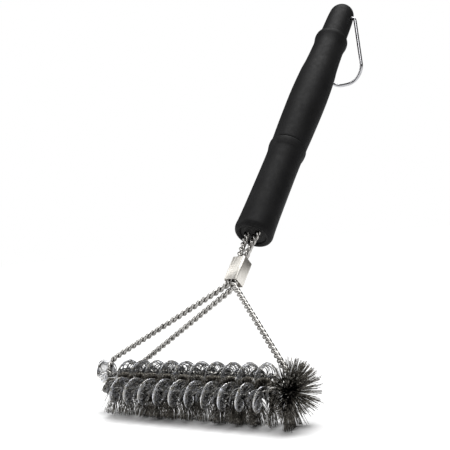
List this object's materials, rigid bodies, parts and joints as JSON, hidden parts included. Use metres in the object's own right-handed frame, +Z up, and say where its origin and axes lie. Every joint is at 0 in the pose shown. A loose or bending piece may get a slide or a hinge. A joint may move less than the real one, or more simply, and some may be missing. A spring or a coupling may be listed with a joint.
{
  "type": "grill cleaning brush",
  "caption": "Long-handled grill cleaning brush with twisted wire stems, bristle-free coil rolls, a steel bristle roll and a hanging bail.",
  "frame": {"origin": "middle of the hand grip, on the handle's axis", "axes": "+X along the rolls, +Z up with the brush at its angle of use, +Y towards the hand"},
  "size_m": [0.2108, 0.307, 0.3489],
  "materials": {
    "handle_plastic": "satin moulded",
    "plug_plastic": "matt",
    "ferrule_steel": "brushed",
    "bail_chrome": "polished",
    "stem_wire": "drawn wire",
    "coil_wire": "drawn wire",
    "bristle_steel": "drawn wire, dark"
  },
  "bodies": {
    "brush": {"handle": "handle_plastic", "handle_end_plug": "plug_plastic", "ferrule": "ferrule_steel", "stem_right_wire_a": "stem_wire", "stem_right_wire_b": "stem_wire", "stem_left_outer_wire_a": "stem_wire", "stem_left_outer_wire_b": "stem_wire", "stem_left_inner_wire_a": "stem_wire", "stem_left_inner_wire_b": "stem_wire", "coil_roll_front": "coil_wire", "coil_roll_back": "coil_wire", "bristle_roll": "bristle_steel", "bristle_flare": "bristle_steel"},
    "bail": {"hanging_bail": "bail_chrome"}
  },
  "joints": [
    {"name": "bail_swing", "type": "hinge", "parent": "brush", "child": "bail", "pos_m": [0, 0.08063, 0.08955], "axis": [1, 0, 0], "range_deg": [-24, 298]}
  ]
}
